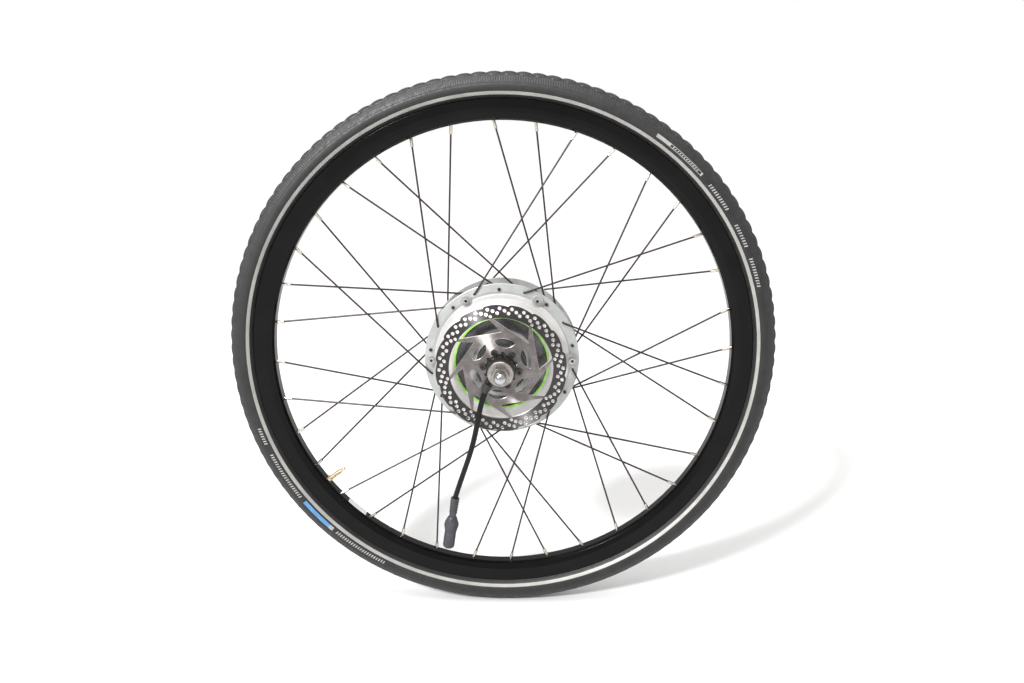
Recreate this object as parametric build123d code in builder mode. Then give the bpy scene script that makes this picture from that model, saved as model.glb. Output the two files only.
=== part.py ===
"""Rear e-bike wheel: a geared hub motor laced into a 37-622 wheel. Millimetres.

The axle runs along Y, the disc side faces -Y, +Z is up and the origin is the wheel's centre.
Outlines are (radius, y) pairs. Angles go from +X towards +Z, as seen from the disc side.
"""

import os
from math import acos, cos, degrees, pi, radians, sin, tan

from build123d import *

# Wheel
BEAD_SEAT_R = 311.0
TYRE_WIDTH = 37.0
TYRE_R = BEAD_SEAT_R + TYRE_WIDTH
RIM_INNER_R = 291.5
RIM_FLANGE_R = 317.0
SPOKES = 36
SPOKE_R = 1.15
SPOKE_SHIFT = 40.0
NIPPLE_R = 2.0
NIPPLE_LENGTH = 12.0
VALVE_ANGLE = 217.0

# Hub shell
FLANGE_R = 97.0
FLANGE_THICKNESS = 3.5
FLANGE_Y = {"disc": -24.0, "drive": 15.7}
SPOKE_CIRCLE_R = 90.0
SPOKE_HOLE_R = 1.5
BARREL_R = 83.0
BARREL_BORE_R = 79.0
COVER_SCREW_CIRCLE_R = 88.0
COVER_SCREWS = 6
LUG_FACE_Y = -30.5
THREAD_R = 17.4

# Brake disc
DISC_R = 80.0
DISC_FACE_Y = -66.9
DISC_THICKNESS = 1.8
DISC_BACK_Y = DISC_FACE_Y + DISC_THICKNESS
TRACK_INNER_R = 63.2
SPIDER_R = 46.0
ARMS = 8
ARM_PHASE = 11.0
DISC_BOLTS = 6
DISC_BOLT_CIRCLE_R = 22.0
DISC_BOLT_PHASE = 52.0

# Axle
DISC_DROPOUT_Y = -90.3
AXLE_WIDTH = 135.0
DRIVE_DROPOUT_Y = DISC_DROPOUT_Y + AXLE_WIDTH
THREADED_END_R = 6.0
AXLE_R = 7.5
WIRE_BORE_R = 3.7
LEAD_EXIT_Y = 13.3

# Gear train: the carrier stands still, the ring gear turns with the shell
MODULE = 1.5
RING_TEETH = 84
SUN_TEETH = 18
PLANET_TEETH = (RING_TEETH - SUN_TEETH) // 2
PLANETS = 3
PLANET_CIRCLE_R = MODULE * (SUN_TEETH + PLANET_TEETH) / 2
FIRST_PLANET_ANGLE = 90.0
GEAR_FACE_Y = (-31.0, -20.0)
PRESSURE_ANGLE = radians(20)
BACKLASH = 0.24
PIN_R = 4.0
RUNNING_GAP = 0.05

# Motor
STATOR_R = 54.0
STACK_HALF = 9.0
SLOTS = 18
MAGNETS = 20

# Cable, from its outlet beside the axle to its connector
CABLE_R = 3.4
CABLE_ROUTE = [
    (-12.7, -76.0, -12.5),
    (-20.0, -76.4, -27.5),
    (-26.0, -76.0, -50.0),
    (-31.0, -73.6, -79.0),
    (-37.6, -66.5, -107.0),
    (-46.8, -55.0, -137.0),
    (-55.0, -44.0, -163.5),
    (-60.8, -37.6, -183.5),
]
CONNECTOR_END = (-71.6, -28.4, -257.0)


def polar(radius, angle):
    """A point of a sketch that lies across the axle."""
    return (radius * cos(radians(angle)), radius * sin(radians(angle)))


def around(radius, angle, y):
    """A point in space at a radius and angle about the axle."""
    x, z = polar(radius, angle)
    return Vector(x, y, z)


def across(y):
    """The plane across the axle at y. Its normal points out of the disc side."""
    return Plane.XZ.offset(-y)


def spaced(count, first=0.0):
    """Evenly spaced angles round the axle."""
    return [first + 360 / count * i for i in range(count)]


def turn(*outline, mode=Mode.ADD, arc=360):
    """Revolve a closed outline of (radius, y) points about the axle."""
    with BuildSketch(Plane.XY) as half:
        with BuildLine():
            Polyline(*outline, close=True)
        make_face()
    revolve(half.sketch, axis=Axis.Y, revolution_arc=arc, mode=mode)


def tube(inner, outer, y_from, y_to, mode=Mode.ADD):
    """A plain ring, bush or sleeve on the axle's axis."""
    turn((inner, y_from), (outer, y_from), (outer, y_to), (inner, y_to), mode=mode)


def rod(radius, start, end, mode=Mode.ADD):
    """A round bar from one point to another."""
    run = Vector(*end) - Vector(*start)
    with BuildSketch(Plane(origin=start, z_dir=run)) as section:
        Circle(radius)
    extrude(section.sketch, amount=run.length, mode=mode)


def rods_along_axle(radius, circle_r, angles, y_from, y_to, mode=Mode.ADD):
    """Round bars parallel to the axle, on a circle."""
    for angle in angles:
        rod(radius, around(circle_r, angle, y_from), around(circle_r, angle, y_to), mode)


def hexagon(across_flats, y_from, y_to, centre=(0, 0), turned=0, mode=Mode.ADD):
    """A six-sided bar parallel to the axle."""
    with BuildSketch(across(y_from)) as section:
        with Locations(centre):
            RegularPolygon(across_flats / 2, 6, major_radius=False, rotation=turned)
    extrude(section.sketch, amount=y_from - y_to, mode=mode)


def ball_bearing(bore_r, outer_r, y_from, y_to, balls):
    """Two races and their balls, with the bore a running fit on its seat."""
    middle = (bore_r + outer_r) / 2
    ball_r = (outer_r - bore_r) * 0.27
    y_mid = (y_from + y_to) / 2
    tube(bore_r + RUNNING_GAP, middle - ball_r * 0.55, y_from, y_to)
    tube(middle + ball_r * 0.55, outer_r, y_from, y_to)
    with BuildSketch(Plane.XY) as groove:
        with Locations((middle, y_mid)):
            Circle(ball_r + 0.1)
    revolve(groove.sketch, axis=Axis.Y, mode=Mode.SUBTRACT)
    for angle in spaced(balls, 180 / balls):
        with Locations(around(middle, angle, y_mid)):
            Sphere(ball_r)


def tooth_half_angle(radius, teeth, slack):
    """Half the angle that an involute tooth fills at a radius, in degrees."""
    pitch_r = MODULE * teeth / 2
    base_r = pitch_r * cos(PRESSURE_ANGLE)
    at_pitch = pi / (2 * teeth) - slack / (2 * pitch_r)
    angle = acos(min(1.0, base_r / max(radius, base_r)))
    rise = (tan(PRESSURE_ANGLE) - PRESSURE_ANGLE) - (tan(angle) - angle)
    return degrees(at_pitch + rise)


def gear_outline(teeth, addendum, dedendum, slack, first_tooth):
    """The toothed outline of a gear, or of the hole in a ring gear."""
    pitch_r = MODULE * teeth / 2
    base_r = pitch_r * cos(PRESSURE_ANGLE)
    root_r, tip_r = pitch_r - dedendum, pitch_r + addendum
    flank_from = max(root_r, base_r)
    flank = [flank_from + (tip_r - flank_from) * step / 3 for step in range(4)]
    radii = flank if root_r >= base_r else [root_r] + flank
    points = []
    for tooth in spaced(teeth, first_tooth):
        rising = [polar(r, tooth - tooth_half_angle(r, teeth, slack)) for r in radii]
        falling = [polar(r, tooth + tooth_half_angle(r, teeth, slack)) for r in reversed(radii)]
        points += rising + falling
    return points


def toothed(outline, y_from, y_to, mode=Mode.ADD):
    """Extrude a toothed outline along the axle."""
    with BuildSketch(across(y_to)) as section:
        with BuildLine():
            Polyline(*outline, close=True)
        make_face()
    extrude(section.sketch, amount=y_to - y_from, mode=mode)


# ---------------------------------------------------------------- axle, standing still

with BuildPart() as axle:
    turn(
        (0, -104.0), (5.2, -104.0), (THREADED_END_R, -103.0), (THREADED_END_R, DISC_DROPOUT_Y),
        (AXLE_R, DISC_DROPOUT_Y), (AXLE_R, -11.8), (10, -11.8), (10, 11.8), (8.5, 11.8),
        (8.5, 29.2), (7, 29.2), (7, DRIVE_DROPOUT_Y), (THREADED_END_R, DRIVE_DROPOUT_Y),
        (THREADED_END_R, 64.0), (5.2, 65.0), (0, 65.0),
    )
    rod(WIRE_BORE_R, (0, -80.0, 0), (0, LEAD_EXIT_Y, 0), Mode.SUBTRACT)
    rod(WIRE_BORE_R, (0, CABLE_ROUTE[0][1], 0), CABLE_ROUTE[0], Mode.SUBTRACT)
    rod(WIRE_BORE_R, (0, LEAD_EXIT_Y, 0), (0, LEAD_EXIT_Y, 12), Mode.SUBTRACT)

with BuildPart() as axle_sleeve:
    turn(
        (AXLE_R, DISC_DROPOUT_Y), (14.8, DISC_DROPOUT_Y), (15.6, -89.5), (15.6, -79.0),
        (14.0, -79.0), (14.0, -68.0), (17.2, -68.0), (17.2, -52.0), (15.0, -52.0),
        (15.0, -43.6), (14.5, -43.6), (14.5, -35.6), (AXLE_R, -35.6),
    )
    rod(WIRE_BORE_R, (0, CABLE_ROUTE[0][1], 0), CABLE_ROUTE[0], Mode.SUBTRACT)

with BuildPart() as cable_collar:
    tube(14.0, 17.9, -79.0, -68.0)
    rod(5.6, (-7.6, -76.0, -6.0), (-14.6, -76.0, -16.3))
    tube(0, 14.0, -90.0, -60.0, Mode.SUBTRACT)
    with BuildSketch(across(-90.0)) as beyond_face:
        Circle(40)
    extrude(beyond_face.sketch, amount=-11.0, mode=Mode.SUBTRACT)
    rod(WIRE_BORE_R, (0, -76.0, 0), CABLE_ROUTE[0], Mode.SUBTRACT)
    rod(WIRE_BORE_R, CABLE_ROUTE[0], CABLE_ROUTE[1], Mode.SUBTRACT)

with BuildPart() as axle_cap_nut:
    hexagon(19.0, -100.8, DISC_DROPOUT_Y)
    turn((0, -101.5), (9.1, -101.5), (11.2, -99.6), (11.2, DISC_DROPOUT_Y), (0, DISC_DROPOUT_Y),
         mode=Mode.INTERSECT)
    with BuildSketch(Plane.XY) as dome_half:
        with BuildLine():
            Line((0, -100), (7.7, -100))
            Line((7.7, -100), (7.7, -106.8))
            ThreePointArc((7.7, -106.8), (7.7 * sin(radians(45)), -106.8 - 7.7 * sin(radians(45))),
                          (0, -114.5))
            Line((0, -114.5), (0, -100))
        make_face()
    revolve(dome_half.sketch, axis=Axis.Y)
    tube(0, THREADED_END_R + RUNNING_GAP, -104.6, DISC_DROPOUT_Y, Mode.SUBTRACT)

with BuildPart() as drive_spacer:
    turn((7.0, 29.3), (10.5, 29.3), (10.5, DRIVE_DROPOUT_Y - 0.5), (10.0, DRIVE_DROPOUT_Y),
         (7.0, DRIVE_DROPOUT_Y))

with BuildPart() as drive_washer:
    tube(THREADED_END_R + 0.2, 11.5, DRIVE_DROPOUT_Y, DRIVE_DROPOUT_Y + 2.0)

with BuildPart() as drive_nut:
    hexagon(19.0, DRIVE_DROPOUT_Y + 2.0, DRIVE_DROPOUT_Y + 12.0)
    turn((0, 46.7), (10.2, 46.7), (11.2, 47.7), (11.2, 55.7), (10.2, 56.7), (0, 56.7),
         mode=Mode.INTERSECT)
    tube(0, THREADED_END_R + RUNNING_GAP, 40, 70, Mode.SUBTRACT)

# ---------------------------------------------------------------- motor

with BuildPart() as stator_carrier:
    tube(10.0, 14.0, -9.5, 9.5)
    tube(14.0, 26.0, -4.0, 4.0)
    tube(26.0, 30.0, -9.0, 9.0)
    rods_along_axle(3.2, 20.0, spaced(6), -5, 5, Mode.SUBTRACT)

with BuildPart() as stator_core:
    tube(30.0, 36.0, -STACK_HALF, STACK_HALF)
    with BuildSketch(across(STACK_HALF)) as teeth_section:
        for tooth_angle in spaced(SLOTS):
            with Locations(Location((0, 0), tooth_angle)):
                with Locations((43.5, 0)):
                    Rectangle(18.0, 6.0)
    extrude(teeth_section.sketch, amount=2 * STACK_HALF)
    with BuildSketch(across(STACK_HALF)) as shoes_section:
        Circle(STATOR_R)
        Circle(50.5, mode=Mode.SUBTRACT)
        for slot_angle in spaced(SLOTS, 180 / SLOTS):
            with Locations(Location((0, 0), slot_angle)):
                with Locations((52.0, 0)):
                    Rectangle(8.0, 2.4, mode=Mode.SUBTRACT)
    extrude(shoes_section.sketch, amount=2 * STACK_HALF)

with BuildPart() as stator_windings:
    with BuildSketch(across(STACK_HALF + 4)) as coils_section:
        for tooth_angle in spaced(SLOTS):
            with Locations(Location((0, 0), tooth_angle)):
                with Locations((43.6, 0)):
                    Rectangle(12.2, 11.2)
    extrude(coils_section.sketch, amount=2 * (STACK_HALF + 4))
    with BuildSketch(across(STACK_HALF + 0.05)) as tooth_gaps:
        for tooth_angle in spaced(SLOTS):
            with Locations(Location((0, 0), tooth_angle)):
                with Locations((43.5, 0)):
                    Rectangle(20.0, 6.1)
    extrude(tooth_gaps.sketch, amount=2 * (STACK_HALF + 0.05), mode=Mode.SUBTRACT)

with BuildPart() as sensor_board:
    with BuildSketch(across(15.2)) as board_section:
        Circle(34.0)
        Circle(18.0, mode=Mode.SUBTRACT)
        with Locations((0, -30)):
            Rectangle(80, 40, mode=Mode.SUBTRACT)
    extrude(board_section.sketch, amount=1.6)

with BuildPart() as motor_leads:
    rod(CABLE_R, (0, CABLE_ROUTE[0][1], 0), (0, LEAD_EXIT_Y, 0))
    rod(CABLE_R, (0, CABLE_ROUTE[0][1], 0), CABLE_ROUTE[0])
    rod(CABLE_R, (0, LEAD_EXIT_Y, 0), (0, LEAD_EXIT_Y, 17.0))

with BuildPart() as rotor_can:
    turn(
        (12.0, -18.0), (60.5, -18.0), (60.5, 10.0), (57.3, 10.0), (57.3, -15.5), (16.0, -15.5),
        (16.0, -12.2), (12.0, -12.2),
    )
    rods_along_axle(7.5, 38.0, spaced(8), -19, -15, Mode.SUBTRACT)

with BuildPart() as rotor_magnets:
    with BuildSketch(across(8.5)) as magnets_section:
        Circle(57.3)
        Circle(54.7, mode=Mode.SUBTRACT)
        for gap_angle in spaced(MAGNETS):
            with Locations(Location((0, 0), gap_angle)):
                with Locations((56, 0)):
                    Rectangle(8.0, 1.6, mode=Mode.SUBTRACT)
    extrude(magnets_section.sketch, amount=17.0)

with BuildPart() as rotor_bearing:
    ball_bearing(AXLE_R, 12.0, -17.4, -12.4, 12)

with BuildPart() as needle_bush:
    tube(AXLE_R + RUNNING_GAP, 9.2, -31.0, -22.0)

# ---------------------------------------------------------------- planetary reduction

with BuildPart() as sun_gear:
    toothed(
        gear_outline(SUN_TEETH, MODULE, 1.25 * MODULE, BACKLASH, FIRST_PLANET_ANGLE),
        GEAR_FACE_Y[0], -18.0,
    )
    tube(0, 9.2, -32, -17, Mode.SUBTRACT)

with BuildPart() as ring_gear:
    tube(0, 72.0, GEAR_FACE_Y[0], -19.5)
    toothed(
        gear_outline(RING_TEETH, 1.25 * MODULE, MODULE, -BACKLASH, FIRST_PLANET_ANGLE),
        -33, -18, Mode.SUBTRACT,
    )

planet_angles = spaced(PLANETS, FIRST_PLANET_ANGLE)
planet_gears, planet_bushes = [], []
for planet_angle in planet_angles:
    centre_x, centre_z = polar(PLANET_CIRCLE_R, planet_angle)
    centre = Vector(centre_x, 0, centre_z)
    outline = [
        (centre_x + x, centre_z + z)
        for x, z in gear_outline(PLANET_TEETH, MODULE, 1.25 * MODULE, BACKLASH, planet_angle)
    ]
    with BuildPart() as planet_gear:
        toothed(outline, *GEAR_FACE_Y)
        rod(6.0, centre + Vector(0, -32, 0), centre + Vector(0, -19, 0), Mode.SUBTRACT)
    planet_gears.append(planet_gear)
    with BuildPart() as planet_bush:
        rod(6.0, centre + Vector(0, -31, 0), centre + Vector(0, -20, 0))
        rod(PIN_R + RUNNING_GAP, centre + Vector(0, -32, 0), centre + Vector(0, -19, 0),
            Mode.SUBTRACT)
    planet_bushes.append(planet_bush)

with BuildPart() as planet_carrier:
    turn((22.0, -43.2), (25.0, -43.2), (25.0, -34.6), (47.0, -34.6), (47.0, -31.6), (22.0, -31.6))
    rods_along_axle(PIN_R, PLANET_CIRCLE_R, planet_angles, -36, -30, Mode.SUBTRACT)

with BuildPart() as planet_pins:
    rods_along_axle(PIN_R, PLANET_CIRCLE_R, planet_angles, -34.6, -19.4)

with BuildPart() as one_way_clutch:
    tube(14.5, 22.0, -43.2, -35.8)
    rods_along_axle(1.5, 18.2, spaced(14), -44, -35, Mode.SUBTRACT)

with BuildPart() as clutch_rollers:
    rods_along_axle(1.45, 18.2, spaced(14), -43.0, -36.0)

# ---------------------------------------------------------------- hub shell, turning

spoke_holes = {"disc": spaced(SPOKES // 2, 12.0), "drive": spaced(SPOKES // 2, 2.0)}
screw_angles = spaced(COVER_SCREWS)
flange_faces = {
    side: (y - FLANGE_THICKNESS / 2, y + FLANGE_THICKNESS / 2) for side, y in FLANGE_Y.items()
}

with BuildPart() as hub_shell:
    turn(
        (BARREL_BORE_R, -25.75), (87.6, -25.75), (FLANGE_R - 0.6, -24.1), (FLANGE_R, -23.7),
        (FLANGE_R, -22.85), (FLANGE_R - 0.6, -22.25), (86.0, -22.25), (BARREL_R, -19.0),
        (BARREL_R, 11.0), (86.0, 13.95), (FLANGE_R - 0.6, 13.95), (FLANGE_R, 14.55),
        (FLANGE_R, 15.7), (FLANGE_R - 0.6, 16.2), (87.6, 17.45), (85.0, 17.45), (80.0, 20.5),
        (52.0, 28.5), (27.0, 31.0), (20.0, 31.0), (THREAD_R, 31.0), (THREAD_R, 42.2), (16.6, 43.0),
        (13.0, 43.0), (13.0, 29.0), (20.0, 29.0), (20.0, 17.0), (24.0, 17.0), (24.0, 27.0),
        (50.0, 25.0), (75.0, 17.5), (BARREL_BORE_R, 14.0),
    )
    rods_along_axle(5.5, COVER_SCREW_CIRCLE_R, screw_angles, -24.0, -9.0)
    rods_along_axle(2.5, COVER_SCREW_CIRCLE_R, screw_angles, -26.0, -11.0, Mode.SUBTRACT)
    for side, angles in spoke_holes.items():
        front, back = flange_faces[side]
        rods_along_axle(SPOKE_HOLE_R, SPOKE_CIRCLE_R, angles, front - 1, back + 1, Mode.SUBTRACT)

with BuildPart() as disc_side_cover:
    turn(
        (72.0, -18.5), (78.8, -18.5), (78.8, -25.75), (84.5, -25.75), (84.5, -27.9),
        (83.9, -28.5), (79.0, -29.4), (73.0, -32.0), (66.5, -37.2), (62.5, -39.8), (59.3, -40.6),
        (59.3, -38.0), (29.0, -38.0), (29.0, -64.6), (28.5, DISC_BACK_Y), (19.3, DISC_BACK_Y),
        (19.3, -60.6), (18.4, -60.6), (18.4, -51.2), (21.0, -51.2), (21.0, -43.8),
        (26.0, -43.8), (26.0, -35.2), (58.0, -35.2), (64.0, -34.0), (70.0, -31.2), (72.0, -31.0),
    )
    with BuildSketch(across(-25.75)) as lugs_section:
        for screw_angle in screw_angles:
            with Locations(Location((0, 0), screw_angle)):
                with BuildLine():
                    Polyline((63.0, -11.2), (79.0, -9.6), (89.2, -6.6), (89.2, 6.6), (79.0, 9.6),
                             (63.0, 11.2), close=True)
                make_face()
                with Locations((COVER_SCREW_CIRCLE_R, 0)):
                    Circle(6.7)
    extrude(lugs_section.sketch, amount=-25.75 - LUG_FACE_Y)
    tube(0, 72.0, -31.0, -20.0, Mode.SUBTRACT)
    turn((0, -31.1), (72.1, -31.1), (70.0, -31.3), (64.0, -34.0), (58.0, -35.2), (0, -35.2),
         mode=Mode.SUBTRACT)
    rods_along_axle(2.6, COVER_SCREW_CIRCLE_R, screw_angles, -31, -25, Mode.SUBTRACT)
    rods_along_axle(2.5, DISC_BOLT_CIRCLE_R, spaced(DISC_BOLTS, DISC_BOLT_PHASE), -66, -53,
                    Mode.SUBTRACT)

with BuildPart() as cover_screws:
    for screw_angle in screw_angles:
        foot = around(COVER_SCREW_CIRCLE_R, screw_angle, LUG_FACE_Y)
        rod(4.1, foot, foot - Vector(0, 2.0, 0))
        rod(2.45, foot, foot + Vector(0, 18.5, 0))
        hexagon(3.4, LUG_FACE_Y - 2.2, LUG_FACE_Y - 0.7,
                centre=polar(COVER_SCREW_CIRCLE_R, screw_angle), mode=Mode.SUBTRACT)

with BuildPart() as trim_ring:
    turn((56.6, -38.0), (59.25, -38.0), (59.25, -40.6), (58.8, -41.2), (57.0, -41.2),
         (56.6, -40.8))

with BuildPart() as trim_disc:
    turn(
        (56.5, -38.05), (56.5, -39.2), (46.0, -39.4), (33.0, -41.0), (30.4, -43.0),
        (30.4, -64.0), (29.1, -64.0), (29.1, -38.05),
    )

with BuildPart() as disc_side_bearing:
    ball_bearing(15.0, 21.0, -51.0, -44.0, 16)

with BuildPart() as disc_side_seal:
    turn((17.3, -64.9), (19.3, -64.9), (19.3, -60.8), (17.3, -60.8))

with BuildPart() as drive_side_bearing:
    ball_bearing(8.5, 20.0, 17.0, 29.0, 8)

with BuildPart() as drive_side_seal:
    tube(10.6, 13.0, 37.0, 42.0)

# ---------------------------------------------------------------- brake disc

scallops = 16
scallop = 360 / scallops

with BuildPart() as brake_disc:
    with BuildSketch(across(DISC_BACK_Y)) as disc_section:
        with BuildLine():
            for notch in reversed(spaced(scallops, 16.6)):
                after_rise = polar(DISC_R - 0.3, notch - 2.0)
                ThreePointArc(after_rise, polar(DISC_R, notch - 9.0), polar(77.7, notch - scallop))
                Line(polar(77.7, notch - scallop), polar(DISC_R - 0.3, notch - scallop - 2.0))
        make_face()
        for arm in spaced(ARMS, ARM_PHASE):
            with BuildLine():
                Line(polar(TRACK_INNER_R, arm + 1.8), polar(SPIDER_R, arm - 12.0))
                Line(polar(SPIDER_R, arm - 12.0), polar(TRACK_INNER_R, arm + 43.0))
                ThreePointArc(polar(TRACK_INNER_R, arm + 43.0), polar(TRACK_INNER_R, arm + 22.0),
                              polar(TRACK_INNER_R, arm + 1.8))
            make_face(mode=Mode.SUBTRACT)
        for window in spaced(6, 22.0):
            with BuildLine():
                ThreePointArc(polar(35.8, window - 21.0), polar(38.8, window),
                              polar(35.8, window + 21.0))
                ThreePointArc(polar(35.8, window + 21.0), polar(26.5, window),
                              polar(35.8, window - 21.0))
            make_face(mode=Mode.SUBTRACT)
        Circle(18.8, mode=Mode.SUBTRACT)
        for relief in spaced(6, DISC_BOLT_PHASE + 30):
            with Locations(polar(19.2, relief)):
                Circle(2.6, mode=Mode.SUBTRACT)
        for bolt in spaced(DISC_BOLTS, DISC_BOLT_PHASE):
            with Locations(polar(DISC_BOLT_CIRCLE_R, bolt)):
                Circle(2.6, mode=Mode.SUBTRACT)
        for group in spaced(2 * scallops):
            for vent_r, vent_angle in ((75.2, 1.1), (69.5, 3.6), (72.5, 7.8)):
                with Locations(polar(vent_r, group + vent_angle)):
                    Circle(2.1, mode=Mode.SUBTRACT)
        for arm in spaced(ARMS, ARM_PHASE):
            with Locations(polar(66.3, arm)):
                Circle(1.9, mode=Mode.SUBTRACT)
    extrude(disc_section.sketch, amount=DISC_THICKNESS)

with BuildPart() as disc_bolts:
    for bolt in spaced(DISC_BOLTS, DISC_BOLT_PHASE):
        foot = around(DISC_BOLT_CIRCLE_R, bolt, DISC_FACE_Y)
        rod(4.1, foot, foot - Vector(0, 2.6, 0))
        rod(2.45, foot, foot + Vector(0, 13.0, 0))
        hexagon(3.6, DISC_FACE_Y - 2.7, DISC_FACE_Y - 0.8,
                centre=polar(DISC_BOLT_CIRCLE_R, bolt), mode=Mode.SUBTRACT)

# ---------------------------------------------------------------- spokes, rim and tyre


def spoke_lines(side, direction):
    """Where the nine spokes of one kind run: their hub angle and their rim angle."""
    first_rim = {("disc", 1): 32, ("disc", -1): 12, ("drive", 1): 22, ("drive", -1): 2}
    return [(rim + direction * SPOKE_SHIFT, rim)
            for rim in spaced(SPOKES // 4, first_rim[side, direction])]


def spoke_ends(side, direction, hub_angle, rim_angle):
    """The head, the elbow and the rim end of a spoke."""
    outward = -1 if side == "disc" else 1
    lies = outward * direction
    y = FLANGE_Y[side]
    elbow_y = y + lies * (FLANGE_THICKNESS / 2 + SPOKE_R + 0.1)
    head_y = y - lies * (FLANGE_THICKNESS / 2 + 0.9)
    return (around(SPOKE_CIRCLE_R, hub_angle, head_y), around(SPOKE_CIRCLE_R, hub_angle, elbow_y),
            around(RIM_INNER_R + 1.5, rim_angle, 0))


def spoke_set(side, direction):
    """Nine spokes of one kind: head, elbow and straight run."""
    for hub_angle, rim_angle in spoke_lines(side, direction):
        head, elbow, rim_end = spoke_ends(side, direction, hub_angle, rim_angle)
        with BuildLine() as route:
            FilletPolyline(head, elbow, rim_end, radius=1.9)
        with BuildSketch(Plane(origin=head, z_dir=elbow - head)) as section:
            Circle(SPOKE_R)
        sweep(section.sketch, path=route.line)
        rod(2.1, head, head + (head - elbow).normalized() * 0.9)


with BuildPart() as spokes_disc_outer:
    spoke_set("disc", 1)

with BuildPart() as spokes_disc_inner:
    spoke_set("disc", -1)

with BuildPart() as spokes_drive_outer:
    spoke_set("drive", 1)

with BuildPart() as spokes_drive_inner:
    spoke_set("drive", -1)

spoke_runs = []
for kind_side, kind_direction in (("disc", 1), ("disc", -1), ("drive", 1), ("drive", -1)):
    for hub_angle, rim_angle in spoke_lines(kind_side, kind_direction):
        _, elbow, rim_end = spoke_ends(kind_side, kind_direction, hub_angle, rim_angle)
        spoke_runs.append((rim_end, (elbow - rim_end).normalized()))

with BuildPart() as nipples:
    for rim_end, inward in spoke_runs:
        rod(NIPPLE_R, rim_end - inward * 1.6, rim_end + inward * NIPPLE_LENGTH)
        rod(3.1, rim_end - inward * 3.6, rim_end - inward * 1.4)
        rod(SPOKE_R + RUNNING_GAP, rim_end - inward * 0.2, rim_end + inward * 20, Mode.SUBTRACT)

with BuildPart() as rim:
    turn(
        (RIM_INNER_R, -6.0), (294.0, -9.6), (300.5, -12.2), (306.0, -12.5),
        (RIM_FLANGE_R - 0.8, -12.5), (RIM_FLANGE_R, -11.8), (RIM_FLANGE_R, -10.8),
        (315.8, -9.7), (314.6, -10.3), (310.6, -10.3), (309.6, -9.6), (308.2, -6.2),
        (308.2, 6.2), (309.6, 9.6), (310.6, 10.3), (314.6, 10.3), (315.8, 9.7),
        (RIM_FLANGE_R, 10.8), (RIM_FLANGE_R, 11.8), (RIM_FLANGE_R - 0.8, 12.5), (306.0, 12.5),
        (300.5, 12.2), (294.0, 9.6), (RIM_INNER_R, 6.0),
    )
    turn(
        (293.4, -5.4), (295.2, -8.0), (300.5, -10.2), (306.0, -10.4), (307.0, -8.6),
        (306.6, -5.4), (306.6, 5.4), (307.0, 8.6), (306.0, 10.4), (300.5, 10.2), (295.2, 8.0),
        (293.4, 5.4), mode=Mode.SUBTRACT,
    )
    for rim_end, inward in spoke_runs:
        rod(NIPPLE_R + 0.15, rim_end + inward * 6, rim_end - inward * 4, Mode.SUBTRACT)
        rod(4.0, rim_end - inward * 9, rim_end - inward * 20, Mode.SUBTRACT)
    rod(3.3, around(280, VALVE_ANGLE, 0), around(320, VALVE_ANGLE, 0), Mode.SUBTRACT)

with BuildPart() as rim_tape:
    tube(308.25, 308.85, -6.1, 6.1)
    rod(3.3, around(280, VALVE_ANGLE, 0), around(320, VALVE_ANGLE, 0), Mode.SUBTRACT)

with BuildPart() as valve_stem:
    rod(3.0, around(270.5, VALVE_ANGLE, 0), around(316.8, VALVE_ANGLE, 0))
    rod(1.7, around(263.5, VALVE_ANGLE, 0), around(270.5, VALVE_ANGLE, 0))
    rod(2.4, around(264.5, VALVE_ANGLE, 0), around(266.8, VALVE_ANGLE, 0))

with BuildPart() as valve_nut:
    rod(4.6, around(288.2, VALVE_ANGLE, 0), around(291.3, VALVE_ANGLE, 0))
    rod(3.05, around(280, VALVE_ANGLE, 0), around(300, VALVE_ANGLE, 0), Mode.SUBTRACT)

# The casing's section: two crown arcs about the bead circle's middle and two sidewall arcs.
crown_centre = TYRE_R - TYRE_WIDTH / 2
half_width = TYRE_WIDTH / 2
sidewall_r = 12.8
sidewall_y = half_width - sidewall_r


def tyre_arcs(wall, bead_r):
    """One half of a casing outline, from the bead up to the crown."""
    crown_r = half_width - wall
    side_r = sidewall_r - wall
    lean = acos((crown_centre - bead_r) / side_r)
    foot = (bead_r, sidewall_y + side_r * sin(lean))
    middle = (crown_centre - side_r * cos((lean + pi / 2) / 2),
              sidewall_y + side_r * sin((lean + pi / 2) / 2))
    widest = (crown_centre, sidewall_y + side_r)
    shoulder = (crown_centre + crown_r * cos(pi / 4), crown_r * sin(pi / 4))
    return foot, middle, widest, shoulder, (crown_centre + crown_r, 0)


def mirrored(point):
    """The same point of an outline on the other side of the wheel's middle."""
    return (point[0], -point[1])


outer_foot, outer_middle, outer_widest, outer_shoulder, outer_crown = tyre_arcs(0.0, 317.4)
inner_foot, inner_middle, inner_widest, inner_shoulder, inner_crown = tyre_arcs(2.8, 320.6)

with BuildPart() as tyre:
    with BuildSketch(Plane.XY) as casing_half:
        with BuildLine():
            for flip in (lambda point: point, mirrored):
                ThreePointArc(flip(outer_foot), flip(outer_middle), flip(outer_widest))
                ThreePointArc(flip(outer_widest), flip(outer_shoulder), flip(outer_crown))
                Line(flip(outer_foot), flip((315.6, 9.5)))
                Line(flip((315.6, 9.5)), flip((311.2, 9.9)))
                Line(flip((311.2, 9.9)), flip((311.2, 6.6)))
                Line(flip((311.2, 6.6)), flip(inner_foot))
                ThreePointArc(flip(inner_foot), flip(inner_middle), flip(inner_widest))
                ThreePointArc(flip(inner_widest), flip(inner_shoulder), flip(inner_crown))
        make_face()
    revolve(casing_half.sketch, axis=Axis.Y)

with BuildPart() as inner_tube:
    with BuildSketch(Plane.XY) as tube_section:
        with Locations((crown_centre, 0)):
            Circle(12.6)
            Circle(11.4, mode=Mode.SUBTRACT)
    revolve(tube_section.sketch, axis=Axis.Y)


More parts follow.
